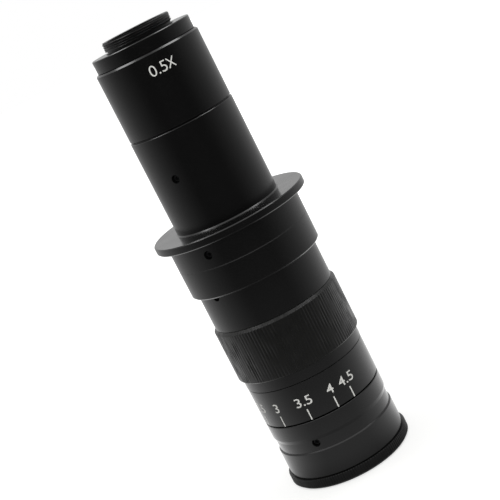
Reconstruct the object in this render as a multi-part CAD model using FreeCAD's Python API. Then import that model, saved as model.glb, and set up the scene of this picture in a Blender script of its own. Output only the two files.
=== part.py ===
# Zoom lens with a C-mount top: fixed outer barrels, a rotating zoom ring that carries the cam barrel,
# and two lens cells that slide in a guide barrel. It stands on its front ring, +Z towards the camera.
# Units are millimetres and degrees. Azimuth 0 faces -Y and grows towards +X.

import FreeCAD, Part
import math
import os
from FreeCAD import Vector

os.makedirs("parts", exist_ok=True)

# Fits and running gaps
thread_fit = 0.03            # radial, pieces screwed or pressed together
running_fit = 0.05           # radial, pieces that turn or slide on each other
barrel_running_gap = 0.10    # radial, cam barrel inside the main barrel
ring_gap = 0.25              # axial, between turning and fixed rings
end_play = 0.05              # axial, at each end of the cam barrel
edge_break = 0.25            # small turned chamfer
cut_overshoot = 1.0          # how far a cut runs past the piece
flat_sag = 1e-6              # a lens face with less sag is flat

# Lengths along the axis, from the front ring up
front_ring_height = 3.95
front_ring_lip = 1.2
front_ring_edge = 0.9
objective_length = 10.35
objective_top_chamfer = 0.45
waist_length = 4.0
waist_bevel_height = 1.5
index_band_length = 6.2
scale_length = 14.15
skirt_length = 4.4
grip_length = 20.55
grip_top_chamfer = 1.0
grip_bottom_chamfer = 0.5
barrel_exposed_length = 14.15
collar_length = 19.7
collar_chamfer = 0.5
collar_groove_height = 10.5
collar_groove_width = 0.3
flange_thickness = 2.85
flange_edge = 0.35
tube_length = 36.0
relay_length = 26.2
relay_top_chamfer = 0.6
relay_neck_height = 0.4
relay_neck_depth = 0.7
shoulder_length = 4.9
c_mount_length = 4.0
c_mount_relief_width = 0.8
c_mount_lead_in = 0.35

# Zoom drive
zoom_throw = 230.0
variator_lead = 25.0
compensator_lead = -16.0
cell_length = 9.0
cell_wall = 3.32
guide_wall = 2.5
cam_wall = 2.4
sleeve_wall = 2.25
sleeve_end_gap = 0.25
pin_radius = 1.5
pin_count = 2
pin_head_recess = 0.2
pin_depth_in_cell = 2.2
variator_pin_azimuth = 0.0
compensator_pin_azimuth = 90.0
variator_start_height = 7.5
compensator_start_depth = 3.9
guide_flange_height = 2.0
guide_flange_step = 3.0
guide_seat_length = 9.0

# Walls and steps that set the outer radii
scale_wall = 1.34
skirt_step = 0.11
grip_step = 1.19
index_step = 0.06
waist_depth = 0.51
front_ring_step = 0.99
front_ring_lip_width = 2.43
barrel_wall = 3.87
barrel_web = 2.0
barrel_web_bore = 13.5
collar_radius = 25.0
collar_wall = 2.05
collar_groove_depth = 0.1
flange_overhang = 4.02
tube_radius = 19.55
tube_spigot_step = 1.15
tube_spigot_wall = 1.4
tube_foot_width = 0.4
tube_foot_height = 0.4
relay_step = 0.16
relay_spigot_length = 5.0
relay_spigot_step = 0.9
shoulder_step = 1.01
c_mount_radius = 12.7
c_mount_wall = 2.1
c_mount_relief_depth = 0.65
c_mount_face_undercut = 0.3
c_mount_thread_margin = 0.25
c_mount_spigot_length = 4.2
c_mount_spigot_step = 1.98
objective_spigot_length = 4.1
objective_spigot_step = 1.94
stop_thickness = 1.2
stop_opening = 8.0

# Knurling
grip_ridge_count = 120
grip_ridge_depth = 0.35
front_ring_ridge_count = 150
front_ring_ridge_depth = 0.25
ridge_crest_share = 0.36

# Screws
set_screw_radius = 1.25
set_screw_hole_fit = 0.05
set_screw_recess = 0.7
set_screw_count = 3
barrel_screw_count = 2
hex_socket_width = 1.3
hex_socket_depth = 1.2
drive_screw_count = 3
drive_screw_radius = 1.0
drive_head_radius = 1.9
drive_head_height = 1.2
drive_head_recess = 0.3
drive_slot_width = 0.6
drive_slot_depth = 0.6
drive_screw_height = 2.5
drive_screw_azimuth = 60.0
front_screw_height = 3.0
front_screw_azimuth = -24.6
barrel_screw_depth = 0.25
barrel_screw_azimuth = -48.7
collar_screw_height = 15.5
collar_screw_azimuth = -30.5
collar_screw_bite = 1.2
tube_screw_height = 20.35
tube_screw_azimuth = -33.7

# Glass and its holders
# Each sag is how far a lens face's centre stands above its edge, below it if negative
retainer_wall = 1.5
retainer_thickness = 1.5
spanner_slot_width = 1.2
spanner_slot_depth = 0.6
seat_ledge = 1.2
objective_wall = 4.07
objective_crown_edge = 2.2
objective_flint_edge = 2.4
objective_spacer_length = 1.4
objective_rear_edge = 2.0
objective_retainer_inset = 0.6
objective_front_sag = -1.7
objective_joint_sag = 2.1
objective_back_sag = 0.5
objective_rear_lower_sag = -0.6
objective_rear_upper_sag = 1.5
moving_lens_edge = 2.4
variator_lower_sag = 1.0
variator_joint_sag = -0.8
variator_upper_sag = -1.1
compensator_lower_sag = -0.7
compensator_joint_sag = 1.2
compensator_upper_sag = 0.9
rear_cell_length = 11.0
rear_cell_wall = 4.44
rear_lens_edge = 2.6
rear_lower_sag = -1.2
rear_joint_sag = 1.3
rear_upper_sag = 0.6
relay_lens_radius = 14.0
relay_lens_edge = 3.0
relay_retainer_height = 15.0
relay_lower_sag = -1.4
relay_joint_sag = 1.6
relay_upper_sag = 1.0

# Levels along the axis, worked out from the lengths above
front_ring_top = front_ring_height
objective_top = front_ring_top + objective_length
waist_top = objective_top + waist_length
index_bottom = waist_top + waist_bevel_height
index_top = index_bottom + index_band_length
scale_bottom = index_top + ring_gap
scale_top = scale_bottom + scale_length
grip_bottom = scale_top + skirt_length
grip_top = grip_bottom + grip_length
barrel_bottom = grip_top + ring_gap
collar_bottom = barrel_bottom + barrel_exposed_length
flange_bottom = collar_bottom + collar_length
flange_top = flange_bottom + flange_thickness
tube_top = flange_top + tube_length
relay_neck_top = tube_top + relay_neck_height
relay_top = tube_top + relay_length
shoulder_top = relay_top + shoulder_length
lens_top = shoulder_top + c_mount_length

# Radii, from the standard barrel of the collar inwards to the moving cells
collar_bore = collar_radius - collar_wall
barrel_radius = collar_bore - thread_fit
barrel_recess = barrel_radius - barrel_wall
cam_outer = barrel_recess - barrel_running_gap
cam_inner = cam_outer - cam_wall
guide_outer = cam_inner - running_fit
guide_flange_radius = guide_outer + guide_flange_step
guide_inner = guide_outer - guide_wall
cell_radius = guide_inner - running_fit
moving_lens_radius = cell_radius - cell_wall - thread_fit

# Radii, from the cam barrel outwards to the rings, and those of the upper end
sleeve_inner = cam_outer + thread_fit
sleeve_outer = sleeve_inner + sleeve_wall
scale_inner = sleeve_outer + thread_fit
scale_radius = scale_inner + scale_wall
skirt_radius = scale_radius + skirt_step
grip_radius = skirt_radius + grip_step
body_radius = scale_radius - index_step
waist_radius = body_radius - waist_depth
front_ring_radius = body_radius + front_ring_step
objective_spigot_radius = body_radius - objective_spigot_step
front_ring_opening = objective_spigot_radius + thread_fit - front_ring_lip_width
objective_lens_radius = objective_spigot_radius - objective_wall - thread_fit
flange_radius = collar_radius + flange_overhang
tube_spigot_radius = tube_radius - tube_spigot_step
tube_bore = tube_spigot_radius - tube_spigot_wall
rear_cell_radius = tube_bore - thread_fit
rear_lens_radius = rear_cell_radius - rear_cell_wall - thread_fit
relay_radius = tube_radius - relay_step
relay_neck_radius = relay_radius - relay_neck_depth
relay_spigot_radius = tube_bore + relay_spigot_step
shoulder_radius = relay_radius - shoulder_step
c_mount_spigot_radius = shoulder_radius - c_mount_spigot_step
c_mount_bore = c_mount_radius - c_mount_wall
c_mount_relief_radius = c_mount_radius - c_mount_relief_depth
c_mount_undercut_radius = c_mount_radius + c_mount_thread_margin
slot_half_width = pin_radius + running_fit

# Levels of the zoom drive
barrel_screw_level = collar_bottom - barrel_screw_depth
guide_bottom = objective_top + objective_spigot_length
guide_flange_top = guide_bottom + guide_flange_height
guide_top = barrel_screw_level + guide_seat_length / 2
guide_seat_bottom = guide_top - guide_seat_length
cam_bottom = index_top + end_play
cam_top = guide_seat_bottom - end_play
variator_travel = variator_lead * zoom_throw / 360
compensator_travel = compensator_lead * zoom_throw / 360
variator_pin_level = cam_bottom + variator_start_height
compensator_pin_level = cam_top - compensator_start_depth
web_top = guide_top + barrel_web
stop_top = web_top + stop_thickness


def at_azimuth(shape, azimuth):
    turned = shape.copy()
    turned.rotate(Vector(0, 0, 0), Vector(0, 0, 1), azimuth)
    return turned


def turned_ring(outline):
    """A solid of revolution from (radius, level) points."""
    points = [Vector(radius, 0, level) for radius, level in outline]
    face = Part.Face(Part.makePolygon(points + points[:1]))
    return face.revolve(Vector(0, 0, 0), Vector(0, 0, 1), 360)


def tube(inner, outer, bottom, top):
    return turned_ring([(inner, bottom), (outer, bottom), (outer, top), (inner, top)])


def radial_rod(radius, start, end, level):
    """A round rod that points out of the axis at azimuth 0."""
    return Part.makeCylinder(radius, end - start, Vector(0, -start, level), Vector(0, -1, 0))


def azimuths(count, first):
    return [first + step * 360.0 / count for step in range(count)]


def around(shape, count, first):
    return [at_azimuth(shape, azimuth) for azimuth in azimuths(count, first)]


def knurled(blank, radius, depth, ridges, bottom, top):
    """The blank with straight ridges round its outside between two levels."""
    pitch = 360.0 / ridges
    crest = pitch * ridge_crest_share
    outline = []
    for start in azimuths(ridges, 0.0):
        groove = start + (pitch + crest) / 2
        for angle, reach in ((start, radius), (start + crest, radius), (groove, radius - depth)):
            turn = math.radians(angle)
            outline.append(Vector(reach * math.cos(turn), reach * math.sin(turn), bottom))
    face = Part.Face(Part.makePolygon(outline + outline[:1]))
    ridged = face.extrude(Vector(0, 0, top - bottom))
    return blank.common(ridged)


def spherical_arc(radius, edge_level, sag):
    """Half of a lens surface, from its centre on the axis to its edge."""
    if abs(sag) < flat_sag:
        return Part.makeLine(Vector(0, 0, edge_level), Vector(radius, 0, edge_level))
    curvature = (radius ** 2 + sag ** 2) / (2 * abs(sag))
    half_turn = math.asin(radius / curvature) / 2
    side = math.copysign(1, sag)
    middle_level = edge_level + sag - side * curvature * (1 - math.cos(half_turn))
    middle = Vector(curvature * math.sin(half_turn), 0, middle_level)
    return Part.Arc(Vector(0, 0, edge_level + sag), middle, Vector(radius, 0, edge_level)).toShape()


def seat_rise(radius, sag, seat_radius):
    """How far a lens surface stands above its edge level at a seat's inner edge, 0 if it is hollow."""
    if sag <= 0:
        return 0.0
    curvature = (radius ** 2 + sag ** 2) / (2 * sag)
    return math.sqrt(curvature ** 2 - seat_radius ** 2) - math.sqrt(curvature ** 2 - radius ** 2)


def lens(radius, bottom, top, bottom_sag, top_sag):
    """A lens between two edge levels; each sag is how far that face's centre stands above its edge."""
    lower = spherical_arc(radius, bottom, bottom_sag)
    upper = spherical_arc(radius, top, top_sag)
    rim = Part.makeLine(Vector(radius, 0, bottom), Vector(radius, 0, top))
    axis = Part.makeLine(Vector(0, 0, bottom + bottom_sag), Vector(0, 0, top + top_sag))
    face = Part.Face(Part.Wire(Part.__sortEdges__([lower, rim, upper, axis])))
    return face.revolve(Vector(0, 0, 0), Vector(0, 0, 1), 360)


def cemented_pair(radius, edge, ring_bottom, lower_sag, joint_sag, upper_sag):
    """Two lenses cemented together under a retaining ring, and the level of the ledge that they sit on."""
    top = ring_bottom - seat_rise(radius, upper_sag, radius - retainer_wall)
    joint = top - edge
    bottom = joint - edge
    ledge = bottom - seat_rise(radius, -lower_sag, radius - seat_ledge)
    lower = lens(radius, bottom, joint, lower_sag, joint_sag)
    upper = lens(radius, joint, top, joint_sag, upper_sag)
    return lower, upper, ledge


def retainer(radius, bottom, top, slots_at):
    """A threaded ring with two spanner slots across one face."""
    ring = tube(radius - retainer_wall, radius, bottom, top)
    slot_level = bottom if slots_at == "bottom" else top - spanner_slot_depth
    slot = Part.makeBox(2 * radius, spanner_slot_width, spanner_slot_depth,
                        Vector(-radius, -spanner_slot_width / 2, slot_level))
    return ring.cut(slot)


def set_screws(surface_radius, tip_radius, level, azimuth, count):
    """Grub screws with hex sockets, and the holes that they need."""
    screw = radial_rod(set_screw_radius, tip_radius, surface_radius - set_screw_recess, level)
    across_corners = hex_socket_width / math.cos(math.radians(30))
    corners = [Vector(across_corners / 2 * math.cos(math.radians(60 * step)),
                      -(surface_radius - set_screw_recess),
                      level + across_corners / 2 * math.sin(math.radians(60 * step))) for step in range(6)]
    socket = Part.Face(Part.makePolygon(corners + corners[:1])).extrude(Vector(0, hex_socket_depth, 0))
    screw = screw.cut(socket)
    hole = radial_rod(set_screw_radius + set_screw_hole_fit, tip_radius, surface_radius + cut_overshoot, level)
    return Part.makeCompound(around(screw, count, azimuth)), Part.makeCompound(around(hole, count, azimuth))


def helical_slot(start_azimuth, start_level, lead):
    """The space that a follower pin sweeps in the cam barrel while the ring turns through its throw."""
    rise = lead * zoom_throw / 360
    middle_radius = (cam_inner + cam_outer) / 2
    slope = math.atan(abs(lead) / (2 * math.pi * middle_radius))
    left_handed = lead < 0
    path = Part.makeLongHelix(abs(lead), abs(rise), middle_radius, 0, left_handed)
    lean = math.sin(slope) if left_handed else -math.sin(slope)
    across = Vector(0, lean, math.cos(slope)) * slot_half_width
    start = cam_inner - cut_overshoot
    end = cam_outer + cut_overshoot
    inside = Vector(start, 0, 0)
    outside = Vector(end, 0, 0)
    profile = Part.makePolygon([inside - across, outside - across, outside + across, inside + across,
                                inside - across])
    sweep = path.makePipeShell([profile], True, True)
    first_azimuth = start_azimuth - 90 + (zoom_throw if left_handed else 0)
    sweep = at_azimuth(sweep, first_azimuth)
    sweep.translate(Vector(0, 0, min(start_level, start_level + rise)))
    end_round = radial_rod(slot_half_width, start, end, 0)
    start_end = at_azimuth(end_round, start_azimuth)
    start_end.translate(Vector(0, 0, start_level))
    far_end = at_azimuth(end_round, start_azimuth + zoom_throw)
    far_end.translate(Vector(0, 0, start_level + rise))
    return sweep, start_end, far_end


def straight_slot(azimuth, start_level, travel):
    """A slot along the guide barrel, with round ends."""
    low, high = sorted((start_level, start_level + travel))
    start = guide_inner - cut_overshoot
    end = guide_outer + cut_overshoot
    lower = radial_rod(slot_half_width, start, end, low)
    upper = radial_rod(slot_half_width, start, end, high)
    middle = Part.makeBox(2 * slot_half_width, end - start, high - low, Vector(-slot_half_width, -end, low))
    return at_azimuth(lower.fuse(middle).fuse(upper).removeSplitter(), azimuth)


def moving_cell(pin_level, lower_sag, joint_sag, upper_sag, first_azimuth):
    """A sliding cell with its cemented lenses, retaining ring and follower pins."""
    bottom = pin_level - cell_length / 2
    top = pin_level + cell_length / 2
    ring_bottom = top - retainer_thickness - edge_break
    lower, upper, ledge = cemented_pair(moving_lens_radius, moving_lens_edge, ring_bottom,
                                        lower_sag, joint_sag, upper_sag)
    lens_bore = moving_lens_radius + thread_fit
    throat = moving_lens_radius - seat_ledge
    cell = turned_ring([
        (throat, bottom), (cell_radius - edge_break, bottom), (cell_radius, bottom + edge_break),
        (cell_radius, top - edge_break), (cell_radius - edge_break, top), (lens_bore, top), (lens_bore, ledge),
        (throat, ledge)])
    ring = retainer(moving_lens_radius, ring_bottom, ring_bottom + retainer_thickness, "top")
    pin_start = cell_radius - pin_depth_in_cell
    pin = radial_rod(pin_radius, pin_start, cam_outer - pin_head_recess, pin_level)
    hole = radial_rod(pin_radius, pin_start, cell_radius + cut_overshoot, pin_level)
    for space in around(hole, pin_count, first_azimuth):
        cell = cell.cut(space)
    return cell, lower, upper, ring, Part.makeCompound(around(pin, pin_count, first_azimuth))


pieces = {}

# Front ring: knurled, screwed on the front spigot of the objective housing
spigot_bore = objective_spigot_radius + thread_fit
blank = turned_ring([
    (front_ring_opening, 0), (front_ring_radius - front_ring_edge, 0), (front_ring_radius, front_ring_edge),
    (front_ring_radius, front_ring_top - edge_break), (front_ring_radius - edge_break, front_ring_top),
    (spigot_bore, front_ring_top), (spigot_bore, front_ring_lip), (front_ring_opening, front_ring_lip)])
pieces["front_ring"] = knurled(blank, front_ring_radius, front_ring_ridge_depth, front_ring_ridge_count,
                               -cut_overshoot, front_ring_top + cut_overshoot)

# Objective: from below, a retaining ring, a cemented pair, a spacer and a single lens against a shoulder
objective_inner_ring = objective_lens_radius - retainer_wall
objective_ring_top = front_ring_lip + objective_retainer_inset + retainer_thickness
front_rise = seat_rise(objective_lens_radius, -objective_front_sag, objective_inner_ring)
back_rise = seat_rise(objective_lens_radius, objective_back_sag, objective_inner_ring)
rear_lower_rise = seat_rise(objective_lens_radius, -objective_rear_lower_sag, objective_inner_ring)
crown_bottom = objective_ring_top + front_rise
crown_top = crown_bottom + objective_crown_edge
flint_top = crown_top + objective_flint_edge
spacer_bottom = flint_top + back_rise
spacer_top = spacer_bottom + objective_spacer_length
rear_lens_bottom = spacer_top + rear_lower_rise
rear_lens_top = rear_lens_bottom + objective_rear_edge
objective_throat = objective_lens_radius - seat_ledge
objective_seat = rear_lens_top + seat_rise(objective_lens_radius, objective_rear_upper_sag, objective_throat)
pieces["objective_retainer"] = retainer(objective_lens_radius, objective_ring_top - retainer_thickness,
                                        objective_ring_top, "bottom")
pieces["objective_crown_lens"] = lens(objective_lens_radius, crown_bottom, crown_top,
                                      objective_front_sag, objective_joint_sag)
pieces["objective_flint_lens"] = lens(objective_lens_radius, crown_top, flint_top,
                                      objective_joint_sag, objective_back_sag)
pieces["objective_spacer"] = tube(objective_inner_ring, objective_lens_radius, spacer_bottom, spacer_top)
pieces["objective_rear_lens"] = lens(objective_lens_radius, rear_lens_bottom, rear_lens_top,
                                     objective_rear_lower_sag, objective_rear_upper_sag)

# Objective housing: takes the front ring below, and screws up into the front body
objective_bore = objective_lens_radius + thread_fit
pieces["objective_housing"] = turned_ring([
    (objective_bore, front_ring_lip), (objective_spigot_radius, front_ring_lip),
    (objective_spigot_radius, front_ring_top), (body_radius - edge_break, front_ring_top),
    (body_radius, front_ring_top + edge_break), (body_radius, objective_top - objective_top_chamfer),
    (body_radius - objective_top_chamfer, objective_top), (guide_flange_radius, objective_top),
    (guide_flange_radius, guide_bottom), (objective_throat, guide_bottom), (objective_throat, objective_seat),
    (objective_bore, objective_seat)])

# Front body: fixed ring with a waist under the index band, screwed over the objective housing and the
# guide flange
front_bore = guide_flange_radius + thread_fit
front_body = turned_ring([
    (front_bore, objective_top), (waist_radius, objective_top), (waist_radius, waist_top),
    (body_radius, index_bottom), (body_radius, index_top - edge_break),
    (body_radius - edge_break, index_top), (guide_outer + thread_fit, index_top),
    (guide_outer + thread_fit, guide_flange_top), (front_bore, guide_flange_top)])
pieces["front_body_screws"], holes = set_screws(waist_radius, guide_flange_radius,
                                                objective_top + front_screw_height, front_screw_azimuth,
                                                set_screw_count)
pieces["front_body"] = front_body.cut(holes)

# Guide barrel: fixed, with straight slots that keep the cells from turning
guide = turned_ring([
    (guide_inner, guide_bottom), (guide_flange_radius, guide_bottom), (guide_flange_radius, guide_flange_top),
    (guide_outer, guide_flange_top), (guide_outer, guide_top), (guide_inner, guide_top)])
variator_azimuths = azimuths(pin_count, variator_pin_azimuth)
compensator_azimuths = azimuths(pin_count, compensator_pin_azimuth)
for azimuth in variator_azimuths:
    guide = guide.cut(straight_slot(azimuth, variator_pin_level, variator_travel))
for azimuth in compensator_azimuths:
    guide = guide.cut(straight_slot(azimuth, compensator_pin_level, compensator_travel))
pieces["guide_barrel"] = guide

# Moving cells, each with its glass and follower pins
(pieces["variator_cell"], pieces["variator_lower_lens"], pieces["variator_upper_lens"],
 pieces["variator_retainer"], pieces["variator_pins"]) = moving_cell(
    variator_pin_level, variator_lower_sag, variator_joint_sag, variator_upper_sag, variator_pin_azimuth)
(pieces["compensator_cell"], pieces["compensator_lower_lens"], pieces["compensator_upper_lens"],
 pieces["compensator_retainer"], pieces["compensator_pins"]) = moving_cell(
    compensator_pin_level, compensator_lower_sag, compensator_joint_sag, compensator_upper_sag,
    compensator_pin_azimuth)

# Cam barrel: turns on the guide barrel, with one helical slot for each follower pin
cam = tube(cam_inner, cam_outer, cam_bottom, cam_top)
for azimuth in variator_azimuths:
    for space in helical_slot(azimuth, variator_pin_level, variator_lead):
        cam = cam.cut(space)
for azimuth in compensator_azimuths:
    for space in helical_slot(azimuth, compensator_pin_level, compensator_lead):
        cam = cam.cut(space)

# Zoom grip: the knurled ring and the sleeve that the scale ring slides over
sleeve_bottom = scale_bottom + sleeve_end_gap
blank = turned_ring([
    (sleeve_inner, sleeve_bottom), (sleeve_outer, sleeve_bottom), (sleeve_outer, scale_top),
    (skirt_radius - edge_break, scale_top), (skirt_radius, scale_top + edge_break), (skirt_radius, grip_bottom),
    (grip_radius - grip_bottom_chamfer, grip_bottom), (grip_radius, grip_bottom + grip_bottom_chamfer),
    (grip_radius, grip_top - grip_top_chamfer), (grip_radius - grip_top_chamfer, grip_top),
    (sleeve_inner, grip_top)])
grip = knurled(blank, grip_radius, grip_ridge_depth, grip_ridge_count,
               sleeve_bottom - cut_overshoot, grip_top + cut_overshoot)

# Drive screws: join the sleeve to the cam barrel, and hide under the scale ring
drive_level = cam_bottom + drive_screw_height
drive_head_top = sleeve_outer - drive_head_recess
drive_head_seat = drive_head_top - drive_head_height
drive_shank = radial_rod(drive_screw_radius, cam_inner, drive_head_seat, drive_level)
drive_head = radial_rod(drive_head_radius, drive_head_seat, drive_head_top, drive_level)
drive_slot = Part.makeBox(2 * drive_head_radius, drive_slot_depth, drive_slot_width,
                          Vector(-drive_head_radius, -drive_head_top, drive_level - drive_slot_width / 2))
drive_screw = drive_shank.fuse(drive_head).cut(drive_slot)
pieces["drive_screws"] = Part.makeCompound(around(drive_screw, drive_screw_count, drive_screw_azimuth))
head_space = radial_rod(drive_head_radius, drive_head_seat, sleeve_outer + cut_overshoot, drive_level)
for hole in around(drive_shank.fuse(head_space), drive_screw_count, drive_screw_azimuth):
    cam = cam.cut(hole)
    grip = grip.cut(hole)
pieces["cam_barrel"] = cam
pieces["zoom_grip"] = grip

# Scale ring: carries the magnification marks
pieces["scale_ring"] = turned_ring([
    (scale_inner, scale_bottom), (scale_radius - edge_break, scale_bottom),
    (scale_radius, scale_bottom + edge_break), (scale_radius, scale_top - edge_break),
    (scale_radius - edge_break, scale_top), (scale_inner, scale_top)])

# Main barrel: holds the guide barrel, the aperture stop and the upper tube
main_barrel = turned_ring([
    (barrel_recess, barrel_bottom), (barrel_radius - edge_break, barrel_bottom),
    (barrel_radius, barrel_bottom + edge_break), (barrel_radius, flange_bottom),
    (tube_spigot_radius + thread_fit, flange_bottom), (tube_spigot_radius + thread_fit, web_top),
    (barrel_web_bore, web_top), (barrel_web_bore, guide_top), (guide_outer + thread_fit, guide_top),
    (guide_outer + thread_fit, guide_seat_bottom), (barrel_recess, guide_seat_bottom)])
pieces["main_barrel_screws"], holes = set_screws(barrel_radius, guide_outer, barrel_screw_level,
                                                 barrel_screw_azimuth, barrel_screw_count)
main_barrel = main_barrel.cut(holes)

# Aperture stop: a thin bevelled disc clamped under the upper tube
pieces["aperture_stop"] = turned_ring([
    (stop_opening, web_top), (tube_spigot_radius, web_top), (tube_spigot_radius, stop_top),
    (stop_opening + stop_thickness, stop_top), (stop_opening, web_top + edge_break)])

# Stand collar: the flange and the standard barrel that a microscope stand holds
# Its screws bite into shallow holes in the main barrel
groove_level = collar_bottom + collar_groove_height
groove_half_width = collar_groove_width / 2
collar = turned_ring([
    (collar_bore, collar_bottom), (collar_radius - collar_chamfer, collar_bottom),
    (collar_radius, collar_bottom + collar_chamfer), (collar_radius, groove_level - groove_half_width),
    (collar_radius - collar_groove_depth, groove_level), (collar_radius, groove_level + groove_half_width),
    (collar_radius, flange_bottom),
    (flange_radius - flange_edge, flange_bottom), (flange_radius, flange_bottom + flange_edge),
    (flange_radius, flange_top - flange_edge), (flange_radius - flange_edge, flange_top),
    (tube_radius + running_fit, flange_top), (tube_radius + running_fit, flange_bottom),
    (collar_bore, flange_bottom)])
pieces["stand_collar_screws"], holes = set_screws(collar_radius, barrel_radius - collar_screw_bite,
                                                  collar_bottom + collar_screw_height,
                                                  collar_screw_azimuth, set_screw_count)
pieces["stand_collar"] = collar.cut(holes)
pieces["main_barrel"] = main_barrel.cut(holes)

# Upper tube: sits on the main barrel and holds the rear cell; its bevelled foot rests on the flange
relay_socket = relay_spigot_radius + thread_fit
upper_tube = turned_ring([
    (tube_bore, stop_top), (tube_spigot_radius, stop_top), (tube_spigot_radius, flange_bottom),
    (tube_radius, flange_bottom), (tube_radius, flange_top), (tube_radius + tube_foot_width, flange_top),
    (tube_radius, flange_top + tube_foot_height),
    (tube_radius, tube_top - edge_break), (tube_radius - edge_break, tube_top),
    (relay_socket, tube_top), (relay_socket, tube_top - relay_spigot_length),
    (tube_bore, tube_top - relay_spigot_length)])
pieces["upper_tube_screws"], holes = set_screws(tube_radius, rear_cell_radius,
                                                flange_top + tube_screw_height, tube_screw_azimuth,
                                                set_screw_count)
pieces["upper_tube"] = upper_tube.cut(holes)

# Rear cell: fixed glass behind the moving cells
rear_bottom = flange_top + tube_screw_height - rear_cell_length / 2
rear_top = rear_bottom + rear_cell_length
rear_ring_bottom = rear_top - retainer_thickness - edge_break
pieces["rear_lower_lens"], pieces["rear_upper_lens"], rear_ledge = cemented_pair(
    rear_lens_radius, rear_lens_edge, rear_ring_bottom, rear_lower_sag, rear_joint_sag, rear_upper_sag)
pieces["rear_retainer"] = retainer(rear_lens_radius, rear_ring_bottom, rear_ring_bottom + retainer_thickness,
                                   "top")
pieces["rear_cell"] = turned_ring([
    (rear_lens_radius - seat_ledge, rear_bottom), (rear_cell_radius, rear_bottom), (rear_cell_radius, rear_top),
    (rear_lens_radius + thread_fit, rear_top), (rear_lens_radius + thread_fit, rear_ledge),
    (rear_lens_radius - seat_ledge, rear_ledge)])

# Relay housing: the reducing lens between the tube and the camera; a short neck leaves a thin dark gap
relay_ring_bottom = tube_top + relay_retainer_height
pieces["relay_lower_lens"], pieces["relay_upper_lens"], relay_ledge = cemented_pair(
    relay_lens_radius, relay_lens_edge, relay_ring_bottom, relay_lower_sag, relay_joint_sag, relay_upper_sag)
pieces["relay_retainer"] = retainer(relay_lens_radius, relay_ring_bottom,
                                    relay_ring_bottom + retainer_thickness, "top")
relay_lens_bore = relay_lens_radius + thread_fit
c_mount_socket = c_mount_spigot_radius + thread_fit
c_mount_seat = relay_top - c_mount_spigot_length
relay_throat = relay_lens_radius - seat_ledge
pieces["relay_housing"] = turned_ring([
    (relay_throat, tube_top - relay_spigot_length), (relay_spigot_radius, tube_top - relay_spigot_length),
    (relay_spigot_radius, tube_top), (relay_neck_radius, tube_top), (relay_neck_radius, relay_neck_top),
    (relay_radius - edge_break, relay_neck_top), (relay_radius, relay_neck_top + edge_break),
    (relay_radius, relay_top - relay_top_chamfer), (relay_radius - relay_top_chamfer, relay_top),
    (c_mount_socket, relay_top), (c_mount_socket, c_mount_seat), (relay_lens_bore, c_mount_seat),
    (relay_lens_bore, relay_ledge), (relay_throat, relay_ledge)])

# C-mount ring: camera thread, shoulder and the spigot that screws into the relay housing
# The undercut at the thread's foot lets a camera's face lie flat on the shoulder
undercut_level = shoulder_top - c_mount_face_undercut
thread_bottom = shoulder_top + c_mount_relief_width
pieces["c_mount_ring"] = turned_ring([
    (c_mount_bore, c_mount_seat), (c_mount_spigot_radius, c_mount_seat), (c_mount_spigot_radius, relay_top),
    (shoulder_radius - edge_break, relay_top), (shoulder_radius, relay_top + edge_break),
    (shoulder_radius, shoulder_top - edge_break), (shoulder_radius - edge_break, shoulder_top),
    (c_mount_undercut_radius, shoulder_top), (c_mount_undercut_radius, undercut_level),
    (c_mount_relief_radius, undercut_level), (c_mount_relief_radius, thread_bottom),
    (c_mount_radius, thread_bottom), (c_mount_radius, lens_top - c_mount_lead_in),
    (c_mount_radius - c_mount_lead_in, lens_top), (c_mount_bore, lens_top)])

for name, shape in pieces.items():
    shape.exportStep("parts/" + name + ".step")
print(len(pieces), "pieces, overall length", round(lens_top, 2))
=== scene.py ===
import math
import bmesh
import bpy
from mathutils import Matrix, Vector


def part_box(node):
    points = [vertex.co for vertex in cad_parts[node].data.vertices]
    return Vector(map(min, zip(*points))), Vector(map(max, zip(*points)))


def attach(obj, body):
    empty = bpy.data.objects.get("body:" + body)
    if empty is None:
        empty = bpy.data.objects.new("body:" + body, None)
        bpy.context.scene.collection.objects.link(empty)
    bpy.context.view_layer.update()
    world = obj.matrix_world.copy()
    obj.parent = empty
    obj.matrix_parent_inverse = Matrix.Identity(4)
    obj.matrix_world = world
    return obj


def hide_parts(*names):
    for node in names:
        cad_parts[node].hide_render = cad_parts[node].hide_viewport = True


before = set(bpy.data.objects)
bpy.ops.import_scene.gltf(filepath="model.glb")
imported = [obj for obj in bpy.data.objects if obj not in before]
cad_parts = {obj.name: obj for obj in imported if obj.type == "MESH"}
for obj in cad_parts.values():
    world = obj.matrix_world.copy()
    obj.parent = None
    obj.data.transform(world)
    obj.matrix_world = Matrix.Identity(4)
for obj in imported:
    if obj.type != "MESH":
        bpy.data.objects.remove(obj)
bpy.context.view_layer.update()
print("frame loaded:", len(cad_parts), "pieces")

# Sizes below are in millimetres, and meshes are made in metres
# Azimuth 0 faces -Y, the side in the main picture, and grows towards +X
mm = 0.001


def toLinear(hexColour):
    channels = [int(hexColour[place:place + 2], 16) / 255 for place in (1, 3, 5)]
    linear = [c / 12.92 if c <= 0.04045 else ((c + 0.055) / 1.055) ** 2.4 for c in channels]
    return (*linear, 1.0)


# Inputs are given by name, or as a list in their order; an input is a plain value, another node's socket, or
# a node, which stands for its first output
def addNode(tree, kind, inputs=(), **settings):
    node = tree.nodes.new(kind)
    for name, value in settings.items():
        setattr(node, name, value)
    named = inputs if isinstance(inputs, dict) else dict(enumerate(inputs))
    for name, value in named.items():
        if isinstance(value, bpy.types.Node):
            value = value.outputs[0]
        if isinstance(value, bpy.types.NodeSocket):
            tree.links.new(value, node.inputs[name])
        else:
            node.inputs[name].default_value = value
    return node


def newMaterial(name):
    material = bpy.data.materials.new(name)
    material.use_nodes = True
    material.node_tree.nodes.clear()
    return material, material.node_tree


def addObject(name, data):
    item = bpy.data.objects.new(name, data)
    bpy.context.collection.objects.link(item)
    return item


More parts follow.
